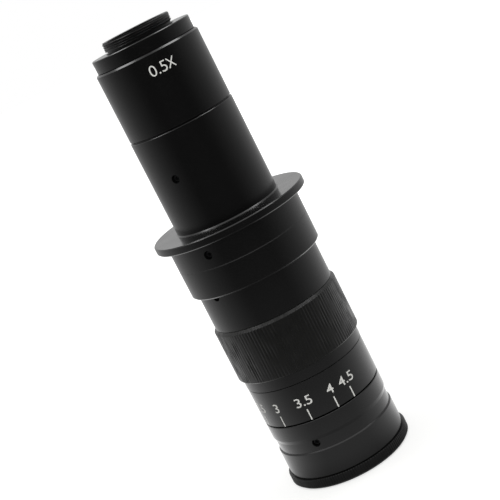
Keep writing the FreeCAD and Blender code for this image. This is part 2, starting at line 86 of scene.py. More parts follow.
# Bottom, top and largest radius of a CAD piece
def span(node):
    low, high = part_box(node)
    return low.z / mm, high.z / mm, high.x / mm


# Camera: looks a little down on the lens and is rolled, so the lens leans in the picture
camera = {
    "focalPixels": 1340.0,
    "framePixels": 500,
    "sensor": 36.0,
    "distance": 465.9,
    "height": 187.06,
    "pitch": 12.275,
    "yaw": 0.103,
    "roll": 26.933,
}


def placeCamera():
    pitch, yaw, roll = (math.radians(camera[name]) for name in ("pitch", "yaw", "roll"))
    ahead = Vector((math.sin(yaw) * math.cos(pitch), math.cos(yaw) * math.cos(pitch), -math.sin(pitch)))
    levelRight = Vector((math.cos(yaw), -math.sin(yaw), 0))
    levelUp = levelRight.cross(ahead)
    right = levelRight * math.cos(roll) - levelUp * math.sin(roll)
    up = levelRight * math.sin(roll) + levelUp * math.cos(roll)
    lens = bpy.data.cameras.new("camera")
    lens.sensor_width = camera["sensor"]
    lens.lens = camera["focalPixels"] / camera["framePixels"] * camera["sensor"]
    lens.clip_start = 0.01
    holder = addObject("camera", lens)
    place = Vector((0, -camera["distance"], camera["height"])) * mm
    holder.matrix_world = Matrix.Translation(place) @ Matrix((right, up, -ahead)).transposed().to_4x4()
    bpy.context.scene.camera = holder


placeCamera()
print("camera placed")

# Studio: a white paper floor and backdrop under a pale ceiling, with the dark room behind the camera
# Two softboxes under the ceiling leave a gap over the lens, so bevels catch a streak of light on each side
# Lengths are in metres and powers in watts; paper, horizon and ceiling start at a direction's Y or Z
studio = {
    "room": 0.05,
    "paper": 0.90,
    "paperStart": -0.80,
    "paperEase": 1.1,
    "horizonShare": 0.62,
    "horizonReach": (-0.02, 0.17),
    "ceiling": 1.25,
    "ceilingStart": (0.62, 0.85),
    "ceilingGap": 0.40,
    "ceilingGapStart": (0.985, 0.998),
    "floorColour": "#b4b4b2",
    "floorSize": 8.0,
    "floorDrop": 0.0001,
    "floorLift": (0.60, 1.0),
    "floorLiftReach": (0.06, 0.35),
    "sideGlowLimit": 0.66,
    # Painted pool of light round the lens and painted shadow at the foot, in the floor's glow as reflections
    # see it
    "paintedPool": 0.53,
    "paintedPoolBehind": 0.60,
    "paintedPoolStart": 0.052,
    "paintedPoolReach": 0.14,
    "paintedFootShadow": 0.40,
    "paintedFootShadowReach": (0.024, 0.052),
    "softboxSize": (0.24, 0.22),
    "softboxPlace": (0.28, 0.10, 0.70),
    "softboxPower": 0.9,
    "fillSize": (0.6, 0.6),
    "fillPlace": (0.0, -1.0, 0.35),
    "fillTarget": (0.0, 0.0, 0.08),
    "fillPower": 6.0,
}


# How bright the surroundings are, from the dark room behind the camera to the paper behind the lens
def paperGlow(tree, direction, limit):
    share = addNode(tree, "ShaderNodeMapRange", {
        "Value": direction.outputs["Y"], "From Min": studio["paperStart"]})
    back = addNode(tree, "ShaderNodeMath", [share, limit], operation="MINIMUM")
    eased = addNode(tree, "ShaderNodeMath", [back, studio["paperEase"]], operation="POWER")
    glow = addNode(tree, "ShaderNodeMapRange", {
        "Value": eased, "To Min": studio["room"], "To Max": studio["paper"]})
    return back, glow


# Camera rays, and rays that pass through glass, find plain white
def seenDirectly(tree):
    rays = addNode(tree, "ShaderNodeLightPath")
    seen = addNode(tree, "ShaderNodeMath", [
        rays.outputs["Is Camera Ray"], rays.outputs["Is Transmission Ray"]], operation="MAXIMUM")
    return rays, seen


def buildWorld():
    world = bpy.data.worlds.new("studio")
    bpy.context.scene.world = world
    world.use_nodes = True
    tree = world.node_tree
    tree.nodes.clear()
    place = addNode(tree, "ShaderNodeTexCoord").outputs["Generated"]
    direction = addNode(tree, "ShaderNodeSeparateXYZ", [place])
    height = direction.outputs["Z"]
    # The paper is dimmer low down, where it meets the floor
    glow = paperGlow(tree, direction, 1.0)[1]
    horizon = addNode(tree, "ShaderNodeMapRange", {
        "Value": height, "From Min": studio["horizonReach"][0], "From Max": studio["horizonReach"][1],
        "To Min": studio["horizonShare"]}, interpolation_type="SMOOTHSTEP")
    paper = addNode(tree, "ShaderNodeMath", [glow, horizon], operation="MULTIPLY")
    # The ceiling is darker straight overhead, between the softboxes
    overhead = addNode(tree, "ShaderNodeMapRange", {
        "Value": height, "From Min": studio["ceilingStart"][0], "From Max": studio["ceilingStart"][1]},
        interpolation_type="SMOOTHSTEP")
    ceiling = addNode(tree, "ShaderNodeMapRange", {
        "Value": height, "To Min": studio["ceiling"], "To Max": studio["ceiling"] * studio["ceilingGap"],
        "From Min": studio["ceilingGapStart"][0], "From Max": studio["ceilingGapStart"][1]})
    aside = addNode(tree, "ShaderNodeMath", [1.0, overhead], operation="SUBTRACT")
    walls = addNode(tree, "ShaderNodeMath", [paper, aside], operation="MULTIPLY")
    around = addNode(tree, "ShaderNodeMath", [overhead, ceiling, walls], operation="MULTIPLY_ADD")
    seen = seenDirectly(tree)[1]
    strength = addNode(tree, "ShaderNodeMath", [around, seen], operation="MAXIMUM")
    light = addNode(tree, "ShaderNodeBackground", {"Color": (1, 1, 1, 1), "Strength": strength})
    addNode(tree, "ShaderNodeOutputWorld", {"Surface": light})


def buildFloor():
    half = studio["floorSize"] / 2
    mesh = bpy.data.meshes.new("floor")
    corners = [(-half, -half), (half, -half), (half, half), (-half, half)]
    mesh.from_pydata([(x, y, -studio["floorDrop"]) for x, y in corners], [], [(0, 1, 2, 3)])
    floor = addObject("floor", mesh)
    paper, tree = newMaterial("matt paper floor")
    place = addNode(tree, "ShaderNodeTexCoord").outputs["Object"]
    away = addNode(tree, "ShaderNodeVectorMath", [place], operation="LENGTH").outputs["Value"]
    outward = addNode(tree, "ShaderNodeVectorMath", [place], operation="NORMALIZE")
    direction = addNode(tree, "ShaderNodeSeparateXYZ", [outward])
    back, glow = paperGlow(tree, direction, studio["sideGlowLimit"])
    # Painted light for reflections: the paper glows with a painted pool of light round the lens, stronger
    # behind it, and a painted shadow darkens it where the foot stands
    fromFoot = addNode(tree, "ShaderNodeMath", [studio["paintedPoolStart"], away], operation="SUBTRACT")
    reached = addNode(tree, "ShaderNodeMath", [fromFoot, studio["paintedPoolReach"]], operation="DIVIDE")
    fading = addNode(tree, "ShaderNodeMath", [reached], operation="EXPONENT")
    paintedPoolFade = addNode(tree, "ShaderNodeMath", [fading, 1.0], operation="MINIMUM")
    paintedShadow = addNode(tree, "ShaderNodeMapRange", {
        "Value": away, "From Min": studio["paintedFootShadowReach"][0], "From Max": studio["paintedFootShadowReach"][1],
        "To Min": studio["paintedFootShadow"]}, interpolation_type="SMOOTHSTEP")
    poolWithPaintedShadow = addNode(tree, "ShaderNodeMath", [paintedPoolFade, paintedShadow], operation="MULTIPLY")
    paintedPoolStrength = addNode(tree, "ShaderNodeMath", [
        back, studio["paintedPoolBehind"], studio["paintedPool"]], operation="MULTIPLY_ADD")
    paintedMirrorLight = addNode(tree, "ShaderNodeMath", [poolWithPaintedShadow, paintedPoolStrength, glow], operation="MULTIPLY_ADD")
    rays, seen = seenDirectly(tree)
    inMirror = rays.outputs["Is Glossy Ray"]
    lift = addNode(tree, "ShaderNodeMapRange", {
        "Value": away, "From Min": studio["floorLiftReach"][0], "From Max": studio["floorLiftReach"][1],
        "To Min": studio["floorLift"][0], "To Max": studio["floorLift"][1]})
    lifted = addNode(tree, "ShaderNodeMath", [seen, lift], operation="MULTIPLY")
    shown = addNode(tree, "ShaderNodeMath", [inMirror, paintedMirrorLight, lifted], operation="MULTIPLY_ADD")
    # A reflection shows only this painted light on the paper, without the lamps' own light on it
    colour = addNode(tree, "ShaderNodeMixRGB", {
        "Fac": inMirror, "Color1": toLinear(studio["floorColour"]), "Color2": (0, 0, 0, 1)})
    surface = addNode(tree, "ShaderNodeBsdfPrincipled", {
        "Base Color": colour, "Roughness": 0.9, "Specular IOR Level": 0.0,
        "Emission Color": (1, 1, 1, 1), "Emission Strength": shown})
    addNode(tree, "ShaderNodeOutputMaterial", {"Surface": surface})
    mesh.materials.append(paper)


def addLamp(name, size, power, place, target, glossy):
    light = bpy.data.lights.new(name, "AREA")
    light.shape = "RECTANGLE"
    light.size, light.size_y = size
    light.energy = power
    lamp = addObject(name, light)
    lamp.location = place
    lamp.rotation_euler = (Vector(target) - Vector(place)).to_track_quat("-Z", "Y").to_euler()
    lamp.visible_camera = False
    lamp.visible_glossy = glossy


buildWorld()
buildFloor()
across, behind, above = studio["softboxPlace"]
for name, side in (("left softbox", -across), ("right softbox", across)):
    place, target = (side, behind, above), (side, behind, 0)
    addLamp(name, studio["softboxSize"], studio["softboxPower"], place, target, True)
addLamp("fill", studio["fillSize"], studio["fillPower"], studio["fillPlace"], studio["fillTarget"], False)
bpy.context.scene.view_settings.view_transform = "Standard"
print("studio built")

# Finishes: grain and tool pitch are drawn about three times as coarse as real ones, or no render shows them
grainContrast = 1.5
evenHandling = {"size": 9.0, "upright": 1.0, "change": 0.11}
anodised = {"colour": "#080808", "roughness": 0.22, "grain": 0.16, "toolPitch": 0.30, "markDepth": 0.0025}
knurlFinish = {"colour": "#0b0b0a", "roughness": 0.32, "grain": 0.12, "toolPitch": 0.35, "markDepth": 0.012,
               "handling": {"size": 1.7, "upright": 0.12, "change": 0.45}}
footFinish = {"colour": "#0b0b0b", "roughness": 0.38, "grain": 0.22, "toolPitch": 0.45, "markDepth": 0.020}
threadFinish = {"colour": "#0a0a0a", "roughness": 0.38, "grain": 0.14, "toolPitch": 0.30, "markDepth": 0.004}
innerFinish = {"colour": "#090909", "roughness": 0.85, "grain": 0.25, "toolPitch": 0.60, "markDepth": 0.020}
steelFinish = {"colour": "#161617", "roughness": 0.42, "grain": 0.10, "toolPitch": 0.20, "markDepth": 0.004}
brassFinish = {"colour": "#c9a55d", "roughness": 0.28, "grain": 0.10, "toolPitch": 0.20, "markDepth": 0.004}
paintFinish = {"colour": "#dededa", "dullColour": "#c4c4c0", "roughness": 0.60, "grain": 0.20,
               "markDepth": 0.010}
glassFinish = {"colour": "#f4fbf7", "ior": 1.517, "coatThickness": 115.0, "coatIor": 1.38, "smear": 6.0}


def turnedMetal(name, finish, metallic, specular):
    material, tree = newMaterial(name)
    place = addNode(tree, "ShaderNodeTexCoord").outputs["Object"]
    # Tool marks run round the axis: one height and one distance from the axis make one line
    x, y, z = addNode(tree, "ShaderNodeSeparateXYZ", [place]).outputs
    flat = addNode(tree, "ShaderNodeCombineXYZ", [x, y])
    out = addNode(tree, "ShaderNodeVectorMath", [flat], operation="LENGTH").outputs["Value"]
    path = addNode(tree, "ShaderNodeMath", [z, out], operation="ADD")
    marks = addNode(tree, "ShaderNodeTexNoise", {
        "W": path, "Scale": 1 / (finish["toolPitch"] * mm), "Detail": 2.0}, noise_dimensions="1D")
    grain = addNode(tree, "ShaderNodeTexNoise", {
        "Vector": place, "Scale": 1 / (finish["grain"] * mm), "Detail": 3.0, "Roughness": 0.6})
    relief = addNode(tree, "ShaderNodeMath", [marks, grain], operation="ADD")
    bump = addNode(tree, "ShaderNodeBump", {
        "Strength": 0.5, "Distance": finish["markDepth"] * mm, "Height": relief})
    # Handling leaves the sheen a little uneven: in patches, or in upright streaks on what is turned by hand
    handled = finish.get("handling", evenHandling)
    worn = addNode(tree, "ShaderNodeMapping", {"Vector": place, "Scale": (1, 1, handled["upright"])})
    patches = addNode(tree, "ShaderNodeTexNoise", {
        "Vector": worn, "Scale": 1 / (handled["size"] * mm), "Detail": 4.0})
    sheen = addNode(tree, "ShaderNodeMapRange", {
        "Value": patches, "From Min": 0.3, "From Max": 0.7,
        "To Min": finish["roughness"] * (1 - handled["change"]),
        "To Max": finish["roughness"] * (1 + handled["change"])})
    dark = toLinear(finish["colour"])
    light = [channel * grainContrast for channel in dark[:3]] + [1.0]
    tone = addNode(tree, "ShaderNodeMixRGB", {"Fac": grain, "Color1": dark, "Color2": light})
    surface = addNode(tree, "ShaderNodeBsdfPrincipled", {
        "Base Color": tone, "Metallic": metallic, "Roughness": sheen, "Specular IOR Level": specular,
        "Normal": bump})
    addNode(tree, "ShaderNodeOutputMaterial", {"Surface": surface})
    return material


def coatedGlass(name, finish):
    material, tree = newMaterial(name)
    place = addNode(tree, "ShaderNodeTexCoord").outputs["Object"]
    # A wiped lens keeps faint smears, which only the roughness shows
    smears = addNode(tree, "ShaderNodeTexNoise", {
        "Vector": place, "Scale": 1 / (finish["smear"] * mm), "Detail": 5.0})
    gloss = addNode(tree, "ShaderNodeMapRange", {
        "Value": smears, "From Min": 0.45, "From Max": 0.8, "To Min": 0.0, "To Max": 0.05})
    surface = addNode(tree, "ShaderNodeBsdfPrincipled", {
        "Base Color": toLinear(finish["colour"]), "Roughness": gloss, "IOR": finish["ior"],
        "Transmission Weight": 1.0, "Thin Film Thickness": finish["coatThickness"],
        "Thin Film IOR": finish["coatIor"]})
    addNode(tree, "ShaderNodeOutputMaterial", {"Surface": surface})
    return material


def engravingPaint(name, finish):
    material, tree = newMaterial(name)
    place = addNode(tree, "ShaderNodeTexCoord").outputs["Object"]
    grain = addNode(tree, "ShaderNodeTexNoise", {
        "Vector": place, "Scale": 1 / (finish["grain"] * mm), "Detail": 2.0})
    bump = addNode(tree, "ShaderNodeBump", {
        "Strength": 0.4, "Distance": finish["markDepth"] * mm, "Height": grain})
    tone = addNode(tree, "ShaderNodeMixRGB", {
        "Fac": grain, "Color1": toLinear(finish["dullColour"]), "Color2": toLinear(finish["colour"])})
    surface = addNode(tree, "ShaderNodeBsdfPrincipled", {
        "Base Color": tone, "Roughness": finish["roughness"], "Specular IOR Level": 0.3, "Normal": bump})
    addNode(tree, "ShaderNodeOutputMaterial", {"Surface": surface})
    return material


# Black anodised aluminium, fine turned: nearly black face on, a silky sheen towards the edges
blackAnodised = turnedMetal("black anodised turned aluminium", anodised, 0.0, 0.5)
# Knurled and anodised: the same dye, duller because the knurling wheel breaks up the sheen
blackKnurled = turnedMetal("black anodised knurled aluminium", knurlFinish, 0.0, 0.4)
# The foot ring is blasted before it is dyed, so it looks dry and deep black
blackBlasted = turnedMetal("black anodised blasted aluminium", footFinish, 0.0, 0.3)
# The camera thread is cut before it is dyed: its flanks are a little rougher than turned faces
blackThread = turnedMetal("black anodised cut thread", threadFinish, 0.0, 0.45)
# Flat black inside the barrels, so that no light is thrown about
blackInner = turnedMetal("flat black lacquered aluminium", innerFinish, 0.0, 0.2)
# Hardened screws, blackened in oil: a dark metal shine
blackenedSteel = turnedMetal("oil blackened steel", steelFinish, 0.4, 0.3)
# Follower pins of plain turned brass
turnedBrass = turnedMetal("turned brass", brassFinish, 1.0, 0.5)
# Ground and polished lenses with a single coat against reflections, which leaves a faint colour
coatedLens = coatedGlass("coated optical glass", glassFinish)
# Paint wiped into shallow engraving: dry and slightly uneven
whitePaint = engravingPaint("white engraving paint", paintFinish)

finishOf = {
    "black_anodised": blackAnodised,
    "black_knurled": blackBlasted,
    "black_inner": blackInner,
    "screw_steel": blackenedSteel,
    "pin_brass": turnedBrass,
    "lens_glass": coatedLens,
}
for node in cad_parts.values():
    for slot in node.material_slots:
        slot.material = finishOf[slot.material.name.split(".")[0]]
print("finishes made")


# Lathe work: a closed outline of (radius, level) points is turned about the axis
# A corner may carry a third number, the radius of its rounding
roundingSteps = 4
roundingMargin = 1.3  # points just outside each rounding keep the shading of the long sides flat
sharpEdge = math.radians(30)


def roundedOutline(corners):
    rounded = []
    for place, corner in enumerate(corners):
        here = Vector(corner[:2])
        if len(corner) < 3:
            rounded.append(here)
            continue
        before = (Vector(corners[place - 1][:2]) - here).normalized()
        after = (Vector(corners[(place + 1) % len(corners)][:2]) - here).normalized()
        opening = before.angle(after)
        reach = corner[2] / math.tan(opening / 2)
        middle = here + (before + after).normalized() * corner[2] / math.sin(opening / 2)
        start = here + before * reach - middle
        turn = start.angle_signed(here + after * reach - middle)
        rounded.append(here + before * reach * roundingMargin)
        for step in range(roundingSteps + 1):
            rounded.append(middle + Matrix.Rotation(-turn * step / roundingSteps, 2) @ start)
        rounded.append(here + after * reach * roundingMargin)
    return rounded


# Adds rows along each side that is longer than the spacing, for pieces whose surface is cut afterwards
def withRows(points, spacing):
    fuller = []
    for place, point in enumerate(points):
        following = points[(place + 1) % len(points)]
        count = max(1, round((following - point).length / spacing))
        fuller += [point.lerp(following, step / count) for step in range(count)]
    return fuller


def turnedPiece(name, points, material, segments=288, closed=True):
    shape = bmesh.new()
    rings = []
    for radius, level in points:
        if radius == 0:
            rings.append([shape.verts.new((0, 0, level * mm))] * segments)
            continue
        angles = [2 * math.pi * step / segments for step in range(segments)]
        rings.append([shape.verts.new((radius * math.cos(a) * mm, radius * math.sin(a) * mm, level * mm))
                      for a in angles])
    last = len(rings) if closed else len(rings) - 1
    for place in range(last):
        lower, upper = rings[place], rings[(place + 1) % len(rings)]
        for step in range(segments):
            following = (step + 1) % segments
            corners = [lower[step], lower[following], upper[following], upper[step]]
            corners = [corner for at, corner in enumerate(corners) if corner not in corners[:at]]
            if len(corners) > 2:
                shape.faces.new(corners)
    bmesh.ops.recalc_face_normals(shape, faces=shape.faces)
    mesh = bpy.data.meshes.new(name)
    shape.to_mesh(mesh)
    shape.free()
    mesh.materials.append(material)
    mesh.shade_smooth()
    mesh.set_sharp_from_angle(angle=sharpEdge)
    return addObject(name, mesh)


def bakeModifiers(piece):
    ready = piece.evaluated_get(bpy.context.evaluated_depsgraph_get())
    mesh = bpy.data.meshes.new_from_object(ready)
    piece.modifiers.clear()
    piece.data = mesh
    mesh.shade_smooth()
    mesh.set_sharp_from_angle(angle=sharpEdge)
    return piece


def around(count, first):
    return [math.radians(first + step * 360 / count) for step in range(count)]


# Bores for set screws, each with a small countersink and a flat black wall
boring = {"radius": 1.5, "countersink": 0.08, "past": 0.5, "segments": 40}


def boreHoles(piece, surfaceRadius, innerRadius, screws):
    level, flare = screws["level"], boring["countersink"]
    steps = ((boring["radius"], innerRadius - boring["past"]), (boring["radius"], surfaceRadius - flare),
             (boring["radius"] + 2 * flare, surfaceRadius + flare))
    cutter = bmesh.new()
    for azimuth in around(screws["count"], screws["azimuth"]):
        rings = []
        for radius, out in steps:
            ring = []
            for step in range(boring["segments"]):
                turn = 2 * math.pi * step / boring["segments"]
                spot = Vector((radius * math.cos(turn), -out, level + radius * math.sin(turn))) * mm
                ring.append(cutter.verts.new(Matrix.Rotation(azimuth, 3, "Z") @ spot))
            rings.append(ring)
        cutter.faces.new(rings[0])
        cutter.faces.new(rings[-1])
        for lower, upper in zip(rings, rings[1:]):
            for step in range(boring["segments"]):
                following = (step + 1) % boring["segments"]
                cutter.faces.new((lower[step], lower[following], upper[following], upper[step]))
    bmesh.ops.recalc_face_normals(cutter, faces=cutter.faces)
    mesh = bpy.data.meshes.new("bores")
    cutter.to_mesh(mesh)
    cutter.free()
    mesh.materials.append(blackInner)
    bores = addObject("bores", mesh)
    cut = piece.modifiers.new("bores", "BOOLEAN")
    cut.operation = "DIFFERENCE"
    cut.material_mode = "TRANSFER"
    cut.object = bores
    bakeModifiers(piece)
    bpy.data.objects.remove(bores)


def newTree(name, sizes):
    tree = bpy.data.node_groups.new(name, "GeometryNodeTree")
    tree.is_modifier = True
    tree.interface.new_socket("Geometry", in_out="INPUT", socket_type="NodeSocketGeometry")
    tree.interface.new_socket("Geometry", in_out="OUTPUT", socket_type="NodeSocketGeometry")
    for label, value in sizes.items():
        kind = "NodeSocketInt" if isinstance(value, int) else "NodeSocketFloat"
        tree.interface.new_socket(label, in_out="INPUT", socket_type=kind).default_value = value
    tree.interface.new_socket("Material", in_out="INPUT", socket_type="NodeSocketMaterial")
    return tree, addNode(tree, "NodeGroupInput").outputs


def closeTree(tree, start, geometry):
    whole = addNode(tree, "GeometryNodeRealizeInstances", {"Geometry": geometry})
    painted = addNode(tree, "GeometryNodeSetMaterial", {
        "Geometry": whole, "Material": start["Material"]})
    addNode(tree, "NodeGroupOutput", {"Geometry": painted})


def runTree(piece, tree, sizes, material):
    made = piece.modifiers.new(tree.name, "NODES")
    made.node_group = tree
    sockets = {item.name: item.identifier for item in tree.interface.items_tree if item.in_out == "INPUT"}
    for label, value in {**sizes, "Material": material}.items():
        made[sockets[label]] = value
    piece.update_tag()
    return bakeModifiers(piece)


# Ridges: straight ones round a ring, or the one endless ridge of a thread
ridgeLikeness = 0.37  # how far one ridge lies from the next in the noise that makes them uneven


def ridgeTree():
    tree, start = newTree("cutRidges", {
        "Ridges Round": 1, "Ridges Along": 0.0, "Depth": 0.0003, "Crest Share": 0.3, "Outer Radius": 0.02,
        "Unevenness": 0.0, "Wear Length": 0.004, "Seed": 3})
    place = addNode(tree, "GeometryNodeInputPosition")
    x, y, z = addNode(tree, "ShaderNodeSeparateXYZ", [place]).outputs
    angle = addNode(tree, "ShaderNodeMath", [y, x], operation="ARCTAN2")
    ofTurn = addNode(tree, "ShaderNodeMath", [angle, 2 * math.pi], operation="DIVIDE")
    passed = addNode(tree, "ShaderNodeMath", [ofTurn, start["Ridges Round"]], operation="MULTIPLY")
    ridges = addNode(tree, "ShaderNodeMath", [z, start["Ridges Along"], passed], operation="MULTIPLY_ADD")
    # From 0 on a ridge to 1 in the middle of a groove, with flat crests between the sloping walls
    within = addNode(tree, "ShaderNodeMath", [ridges], operation="FRACT")
    centred = addNode(tree, "ShaderNodeMath", [within, 0.5], operation="SUBTRACT")
    aside = addNode(tree, "ShaderNodeMath", [centred], operation="ABSOLUTE")
    fromGroove = addNode(tree, "ShaderNodeMath", [aside, 2.0], operation="MULTIPLY")
    wall = addNode(tree, "ShaderNodeMath", [1.0, start["Crest Share"]], operation="SUBTRACT")
    climbed = addNode(tree, "ShaderNodeMath", [fromGroove, wall], operation="DIVIDE")
    sloped = addNode(tree, "ShaderNodeMath", [1.0, climbed], operation="SUBTRACT")
    groove = addNode(tree, "ShaderNodeMath", [sloped, 0.0], operation="MAXIMUM")
    # Each groove is cut a little deeper or shallower than the next, and slowly changes along its length
    shifted = addNode(tree, "ShaderNodeMath", [ridges, 0.5], operation="ADD")
    number = addNode(tree, "ShaderNodeMath", [shifted], operation="FLOOR")
    ridge = addNode(tree, "ShaderNodeMath", [number, ridgeLikeness], operation="MULTIPLY")
    along = addNode(tree, "ShaderNodeMath", [z, start["Wear Length"]], operation="DIVIDE")
    spot = addNode(tree, "ShaderNodeCombineXYZ", [ridge, along, start["Seed"]])
    noise = addNode(tree, "ShaderNodeTexNoise", {"Vector": spot, "Scale": 1.0, "Detail": 1.0})
    swing = addNode(tree, "ShaderNodeMath", [noise, 0.5], operation="SUBTRACT")
    reach = addNode(tree, "ShaderNodeMath", [start["Unevenness"], 2.0], operation="MULTIPLY")
    wobble = addNode(tree, "ShaderNodeMath", [swing, reach, 1.0], operation="MULTIPLY_ADD")
    uneven = addNode(tree, "ShaderNodeMath", [groove, wobble], operation="MULTIPLY")
    depth = addNode(tree, "ShaderNodeMath", [uneven, start["Depth"]], operation="MULTIPLY")
    floor = addNode(tree, "ShaderNodeMath", [start["Outer Radius"], depth], operation="SUBTRACT")
    flat = addNode(tree, "ShaderNodeCombineXYZ", [x, y])
    radius = addNode(tree, "ShaderNodeVectorMath", [flat], operation="LENGTH").outputs["Value"]
    nearer = addNode(tree, "ShaderNodeMath", [radius, floor], operation="MINIMUM")
    share = addNode(tree, "ShaderNodeMath", [nearer, radius], operation="DIVIDE")
    scaled = addNode(tree, "ShaderNodeVectorMath", {0: flat, "Scale": share}, operation="SCALE")
    level = addNode(tree, "ShaderNodeCombineXYZ", {2: z})
    moved = addNode(tree, "ShaderNodeVectorMath", [scaled, level], operation="ADD")
    cut = addNode(tree, "GeometryNodeSetPosition", {"Geometry": start["Geometry"], "Position": moved})
    closeTree(tree, start, cut)
    return tree


# Set screws: a hexagon socket cut into a chamfered rod, repeated round the axis
def screwTree():
    tree, start = newTree("setScrews", {
        "Count": 3, "First Azimuth": 0.0, "Level": 0.01, "Face Radius": 0.02, "Length": 0.003,
        "Screw Radius": 0.00125, "Chamfer": 0.00015, "Socket Width": 0.0013, "Socket Depth": 0.0010})
    body = addNode(tree, "ShaderNodeMath", [start["Length"], start["Chamfer"]], operation="SUBTRACT")
    rod = addNode(tree, "GeometryNodeMeshCylinder", {
        "Vertices": 40, "Radius": start["Screw Radius"], "Depth": body})
    halfBody = addNode(tree, "ShaderNodeMath", [body, 2.0], operation="DIVIDE")
    raised = addNode(tree, "ShaderNodeCombineXYZ", {2: halfBody})
    rodUp = addNode(tree, "GeometryNodeTransform", {"Geometry": rod, "Translation": raised})
    tipRadius = addNode(tree, "ShaderNodeMath", [
        start["Screw Radius"], start["Chamfer"]], operation="SUBTRACT")
    tip = addNode(tree, "GeometryNodeMeshCone", {
        "Vertices": 40, "Radius Bottom": start["Screw Radius"], "Radius Top": tipRadius,
        "Depth": start["Chamfer"]})
    tipPlace = addNode(tree, "ShaderNodeCombineXYZ", {2: body})
    tipUp = addNode(tree, "GeometryNodeTransform", {"Geometry": tip, "Translation": tipPlace})
    solid = addNode(tree, "GeometryNodeMeshBoolean", {"Mesh 2": rodUp}, operation="UNION")
    tree.links.new(tipUp.outputs[0], solid.inputs["Mesh 2"])
    corner = addNode(tree, "ShaderNodeMath", [start["Socket Width"], math.sqrt(3)], operation="DIVIDE")
    twiceDeep = addNode(tree, "ShaderNodeMath", [start["Socket Depth"], 2.0], operation="MULTIPLY")
    hexagon = addNode(tree, "GeometryNodeMeshCylinder", {
        "Vertices": 6, "Radius": corner, "Depth": twiceDeep})
    socketPlace = addNode(tree, "ShaderNodeCombineXYZ", {2: start["Length"]})
    socket = addNode(tree, "GeometryNodeTransform", {"Geometry": hexagon, "Translation": socketPlace})
    screw = addNode(tree, "GeometryNodeMeshBoolean", {
        "Mesh 1": solid, "Mesh 2": socket}, operation="DIFFERENCE")
    # The rod stands along +Z; it is laid down to point along -Y, with its socket in the face
    tipOut = addNode(tree, "ShaderNodeMath", [start["Length"], start["Face Radius"]], operation="SUBTRACT")
    seat = addNode(tree, "ShaderNodeCombineXYZ", {1: tipOut, 2: start["Level"]})
    laid = addNode(tree, "GeometryNodeTransform", {
        "Geometry": screw, "Translation": seat, "Rotation": (math.pi / 2, 0, 0)})
    spots = addNode(tree, "GeometryNodePoints", {"Count": start["Count"]})
    place = addNode(tree, "GeometryNodeInputIndex")
    step = addNode(tree, "ShaderNodeMath", [2 * math.pi, start["Count"]], operation="DIVIDE")
    azimuth = addNode(tree, "ShaderNodeMath", [place, step, start["First Azimuth"]], operation="MULTIPLY_ADD")
    turn = addNode(tree, "ShaderNodeCombineXYZ", {2: azimuth})
    repeated = addNode(tree, "GeometryNodeInstanceOnPoints", {
        "Points": spots, "Instance": laid, "Rotation": turn})
    closeTree(tree, start, repeated)
    return tree


# Marks: a short upright bar on the ring's surface at each of the piece's points
def markTree():
    tree, start = newTree("scaleMarks", {
        "Bottom": 0.026, "Height": 0.004, "Width": 0.0007, "Surface Radius": 0.02, "Proud": 0.00001,
        "Sunk": 0.00003})
    thick = addNode(tree, "ShaderNodeMath", [start["Proud"], start["Sunk"]], operation="ADD")
    size = addNode(tree, "ShaderNodeCombineXYZ", [start["Width"], thick, start["Height"]])
    bar = addNode(tree, "GeometryNodeMeshCube", {"Size": size})
    halfThick = addNode(tree, "ShaderNodeMath", [thick, 2.0], operation="DIVIDE")
    face = addNode(tree, "ShaderNodeMath", [start["Surface Radius"], start["Proud"]], operation="ADD")
    out = addNode(tree, "ShaderNodeMath", [halfThick, face], operation="SUBTRACT")
    middle = addNode(tree, "ShaderNodeMath", [
        start["Height"], 0.5, start["Bottom"]], operation="MULTIPLY_ADD")
    place = addNode(tree, "ShaderNodeCombineXYZ", {1: out, 2: middle})
    standing = addNode(tree, "GeometryNodeTransform", {"Geometry": bar, "Translation": place})
    # The piece's points give the azimuths: each holds one in its X
    position = addNode(tree, "GeometryNodeInputPosition")
    azimuth = addNode(tree, "ShaderNodeSeparateXYZ", [position])
    turn = addNode(tree, "ShaderNodeCombineXYZ", {2: azimuth})
    spots = addNode(tree, "GeometryNodeMeshToPoints", {"Mesh": start["Geometry"]})
    kept = addNode(tree, "GeometryNodeCaptureAttribute", {"Geometry": spots})
    kept.capture_items.new("VECTOR", "turn")
    tree.links.new(turn.outputs[0], kept.inputs["turn"])
    axis = addNode(tree, "ShaderNodeCombineXYZ")
    centred = addNode(tree, "GeometryNodeSetPosition", {"Geometry": kept, "Position": axis})
    repeated = addNode(tree, "GeometryNodeInstanceOnPoints", {
        "Points": centred, "Instance": standing, "Rotation": kept.outputs["turn"]})
    closeTree(tree, start, repeated)
    return tree


cutRidges, setScrews, scaleMarks = ridgeTree(), screwTree(), markTree()
print("node trees built")

# Front ring: the knurled foot that protects the front glass
footRing = {
    "opening": 18.2, "bore": 20.63, "lip": 1.2, "edge": 0.9, "break": 0.25, "bend": 0.08,
    "ridges": 150, "depth": 0.20, "crest": 0.30, "unevenness": 0.6, "rowSpacing": 0.8, "segments": 1200,
}


def makeFootRing():
    bottom, top, radius = span("front_ring")
    edge, small, bend = footRing["edge"], footRing["break"], footRing["bend"]
    outline = roundedOutline([
        (footRing["opening"], bottom, bend), (radius - edge, bottom, bend), (radius, bottom + edge, bend),
        (radius, top - small, bend), (radius - small, top), (footRing["bore"], top),
        (footRing["bore"], bottom + footRing["lip"]), (footRing["opening"], bottom + footRing["lip"])])
    rows = withRows(outline, footRing["rowSpacing"])
    piece = turnedPiece("front_ring_knurled", rows, blackBlasted, segments=footRing["segments"])
    runTree(piece, cutRidges, {
        "Ridges Round": footRing["ridges"], "Depth": footRing["depth"] * mm, "Crest Share": footRing["crest"],
        "Outer Radius": radius * mm, "Unevenness": footRing["unevenness"]}, blackBlasted)
    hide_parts("front_ring")
    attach(piece, "fixed")


